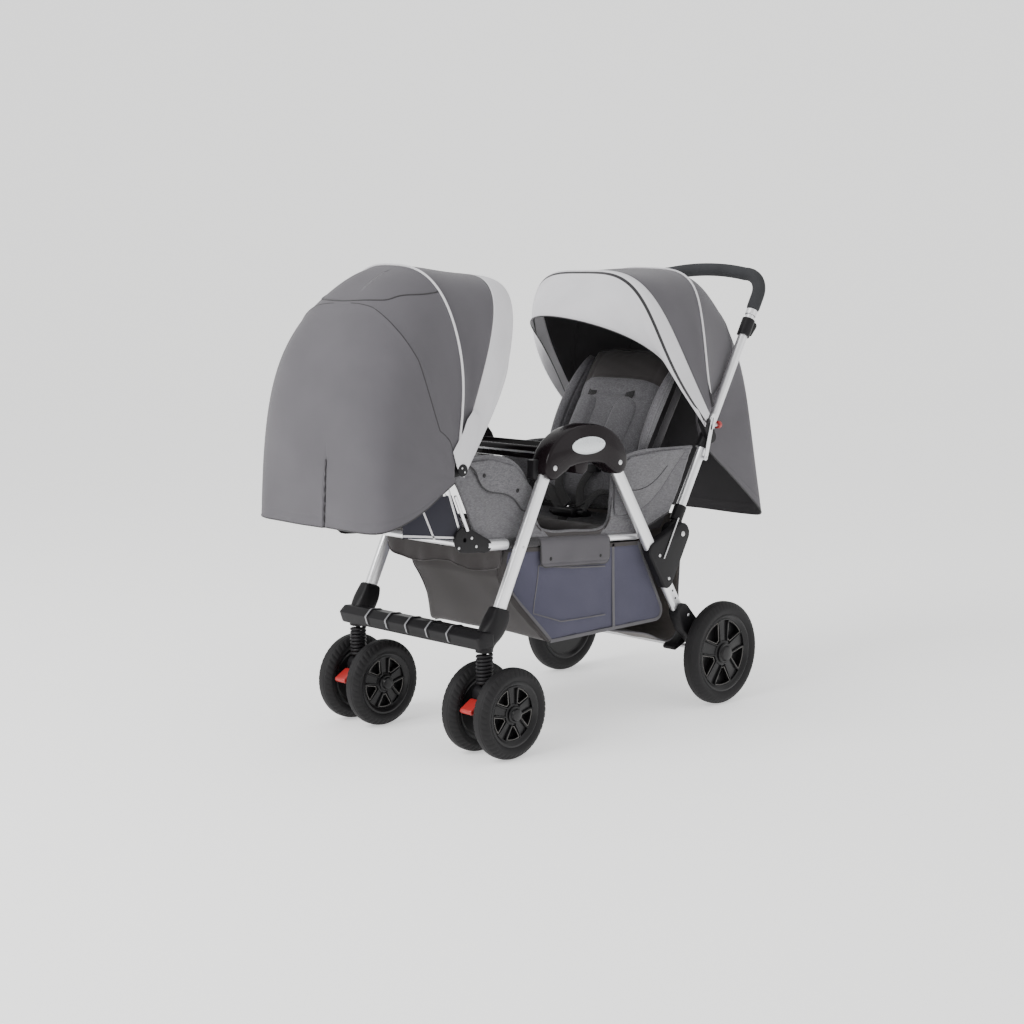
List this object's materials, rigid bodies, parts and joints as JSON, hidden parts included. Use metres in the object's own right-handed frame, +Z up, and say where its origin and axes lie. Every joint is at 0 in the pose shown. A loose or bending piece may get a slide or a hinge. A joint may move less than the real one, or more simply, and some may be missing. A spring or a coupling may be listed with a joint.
{
  "type": "double stroller",
  "caption": "Double stroller with seats that face each other, folding hoods, a push handle, twin front casters and a basket.",
  "frame": {"origin": "middle of the bounding box on the floor", "axes": "+Z up; the push handle is at +X and the casters at -X; the stroller's left side is at -Y"},
  "size_m": [1.2867, 0.546, 1.0104],
  "materials": {
    "aluminium": "satin anodised",
    "steel": "brushed",
    "gloss_black": "glossy",
    "black_plastic": "fine grain",
    "red_plastic": "fine grain",
    "tyre": "moulded",
    "rim": "satin",
    "foam": "closed-cell foam",
    "dark_fabric": "woven",
    "light_fabric": "woven",
    "seat_fabric": "flecked weave",
    "mesh_fabric": "knitted mesh"
  },
  "bodies": {
    "frame": {"basket": "mesh_fabric", "center_tray": "gloss_black", "hub_left": "gloss_black", "hub_right": "gloss_black", "mid_joint_left": "black_plastic", "mid_joint_right": "black_plastic", "rear_axle": "steel", "rear_bracket_left": "black_plastic", "rear_bracket_right": "black_plastic", "rear_leg_left": "aluminium", "rear_leg_right": "aluminium"},
    "brake": {"brake_bar": "black_plastic"},
    "handle": {"canopy_clamp_left": "black_plastic", "canopy_clamp_right": "black_plastic", "handle_grip": "foam", "handle_knuckle_left": "black_plastic", "handle_knuckle_right": "black_plastic", "handle_tube": "aluminium", "rear_hood_cover": "dark_fabric", "rear_hood_drape": "black_plastic"},
    "fork_left": {"caster_fork_left": "black_plastic", "caster_spring_left": "black_plastic"},
    "fork_right": {"caster_fork_right": "black_plastic", "caster_spring_right": "black_plastic"},
    "caster_left": {"caster_stem_left": "black_plastic"},
    "caster_right": {"caster_stem_right": "black_plastic"},
    "front_back": {"front_back_frame": "aluminium", "front_back_pad": "seat_fabric", "front_hood_cover": "dark_fabric"},
    "front_legs": {"front_bumper": "black_plastic", "front_leg_left": "aluminium", "front_leg_right": "aluminium"},
    "front_hood": {"front_hood_visor": "light_fabric"},
    "wheel_left_inner": {"front_rim_left_inner": "rim", "front_tyre_left_inner": "tyre"},
    "wheel_left_outer": {"front_rim_left_outer": "rim", "front_tyre_left_outer": "tyre"},
    "wheel_right_inner": {"front_rim_right_inner": "rim", "front_tyre_right_inner": "tyre"},
    "wheel_right_outer": {"front_rim_right_outer": "rim", "front_tyre_right_outer": "tyre"},
    "lever_left": {"lock_lever_left": "red_plastic"},
    "lever_right": {"lock_lever_right": "red_plastic"},
    "rear_back": {"rear_back_frame": "aluminium", "rear_back_pad": "seat_fabric"},
    "rear_hood": {"rear_hood_visor": "light_fabric"},
    "rear_wheel_left": {"rear_rim_left": "rim", "rear_tyre_left": "tyre"},
    "rear_wheel_right": {"rear_rim_right": "rim", "rear_tyre_right": "tyre"},
    "seat": {"recline_plate_left": "black_plastic", "recline_plate_right": "black_plastic", "seat_frame_tube": "aluminium", "seat_liner": "seat_fabric", "side_guard_left": "seat_fabric", "side_guard_right": "seat_fabric"},
    "latch": {"safety_latch": "steel"},
    "trigger_left": {"trigger_left": "black_plastic"},
    "trigger_right": {"trigger_right": "black_plastic"}
  },
  "joints": [
    {"name": "handle_fold", "type": "hinge", "parent": "frame", "child": "handle", "pos_m": [0.2573, 0, 0.402], "axis": [0, -1, 0], "range_deg": [0, 32], "deforming": ["rear_hood_drape"]},
    {"name": "front_fold", "type": "hinge", "parent": "frame", "child": "front_legs", "pos_m": [-0.1737, 0, 0.586], "axis": [0, -1, 0], "range_deg": [0, 15.5], "deforming": ["basket"]},
    {"name": "seat_fold", "type": "hinge", "parent": "frame", "child": "seat", "pos_m": [0.1453, 0, 0.40401], "axis": [0, 1, 0], "range_deg": [0, 6.5], "deforming": ["side_guard_left", "side_guard_right"]},
    {"name": "front_recline", "type": "hinge", "parent": "seat", "child": "front_back", "pos_m": [-0.3977, 0, 0.455], "axis": [0, -1, 0], "range_deg": [0, 15], "deforming": ["front_hood_cover"]},
    {"name": "rear_recline", "type": "hinge", "parent": "seat", "child": "rear_back", "pos_m": [0.1183, 0, 0.4058], "axis": [0, 1, 0], "range_deg": [0, 20], "deforming": ["seat_liner"]},
    {"name": "front_hood_fold", "type": "hinge", "parent": "front_back", "child": "front_hood", "pos_m": [-0.4227, 0, 0.6], "axis": [0, -1, 0], "range_deg": [0, 45]},
    {"name": "rear_hood_fold", "type": "hinge", "parent": "handle", "child": "rear_hood", "pos_m": [0.35434, 0, 0.65202], "axis": [0, 1, 0], "range_deg": [0, 45], "deforming": ["rear_hood_cover"]},
    {"name": "latch_swing", "type": "hinge", "parent": "handle", "child": "latch", "pos_m": [0.35201, 0, 0.56671], "axis": [0, 1, 0], "range_deg": [0, 25]},
    {"name": "brake_press", "type": "hinge", "parent": "frame", "child": "brake", "pos_m": [0.3143, 0, 0.152], "axis": [0, -1, 0], "range_deg": [0, 18]},
    {"name": "trigger_slide_left", "type": "slide", "parent": "handle", "child": "trigger_left", "axis": [0.4985, 0, 0.8669], "range_m": [0, 0.014], "stiffness_N_per_m": 300},
    {"name": "caster_swivel_left", "type": "hinge", "parent": "front_legs", "child": "caster_left", "pos_m": [-0.3537, -0.2, 0.15], "axis": [0, 0, 1], "continuous": true},
    {"name": "suspension_left", "type": "slide", "parent": "caster_left", "child": "fork_left", "axis": [0, 0, 1], "range_m": [0, 0.012], "stiffness_N_per_m": 4000, "springref_m": -0.02, "deforming": ["caster_spring_left"]},
    {"name": "lever_press_left", "type": "hinge", "parent": "fork_left", "child": "lever_left", "pos_m": [-0.3772, -0.2, 0.116], "axis": [0, 1, 0], "range_deg": [0, 20]},
    {"name": "wheel_spin_left_outer", "type": "hinge", "parent": "fork_left", "child": "wheel_left_outer", "pos_m": [-0.3267, -0.247, 0.095], "axis": [0, 1, 0], "continuous": true},
    {"name": "wheel_spin_left_inner", "type": "hinge", "parent": "fork_left", "child": "wheel_left_inner", "pos_m": [-0.3267, -0.153, 0.095], "axis": [0, 1, 0], "continuous": true},
    {"name": "rear_wheel_spin_left", "type": "hinge", "parent": "frame", "child": "rear_wheel_left", "pos_m": [0.3553, -0.249, 0.119], "axis": [0, 1, 0], "continuous": true},
    {"name": "trigger_slide_right", "type": "slide", "parent": "handle", "child": "trigger_right", "axis": [0.4985, 0, 0.8669], "range_m": [0, 0.014], "stiffness_N_per_m": 300},
    {"name": "caster_swivel_right", "type": "hinge", "parent": "front_legs", "child": "caster_right", "pos_m": [-0.3537, 0.2, 0.15], "axis": [0, 0, 1], "continuous": true},
    {"name": "suspension_right", "type": "slide", "parent": "caster_right", "child": "fork_right", "axis": [0, 0, 1], "range_m": [0, 0.012], "stiffness_N_per_m": 4000, "springref_m": -0.02, "deforming": ["caster_spring_right"]},
    {"name": "lever_press_right", "type": "hinge", "parent": "fork_right", "child": "lever_right", "pos_m": [-0.3772, 0.2, 0.116], "axis": [0, 1, 0], "range_deg": [0, 20]},
    {"name": "wheel_spin_right_outer", "type": "hinge", "parent": "fork_right", "child": "wheel_right_outer", "pos_m": [-0.3267, 0.247, 0.095], "axis": [0, 1, 0], "continuous": true},
    {"name": "wheel_spin_right_inner", "type": "hinge", "parent": "fork_right", "child": "wheel_right_inner", "pos_m": [-0.3267, 0.153, 0.095], "axis": [0, 1, 0], "continuous": true},
    {"name": "rear_wheel_spin_right", "type": "hinge", "parent": "frame", "child": "rear_wheel_right", "pos_m": [0.3553, 0.249, 0.119], "axis": [0, 1, 0], "continuous": true}
  ],
  "couplings": [
    {"joint": "front_fold", "follows": "handle_fold", "ratio": 0.48},
    {"joint": "seat_fold", "follows": "handle_fold", "ratio": 0.2}
  ]
}
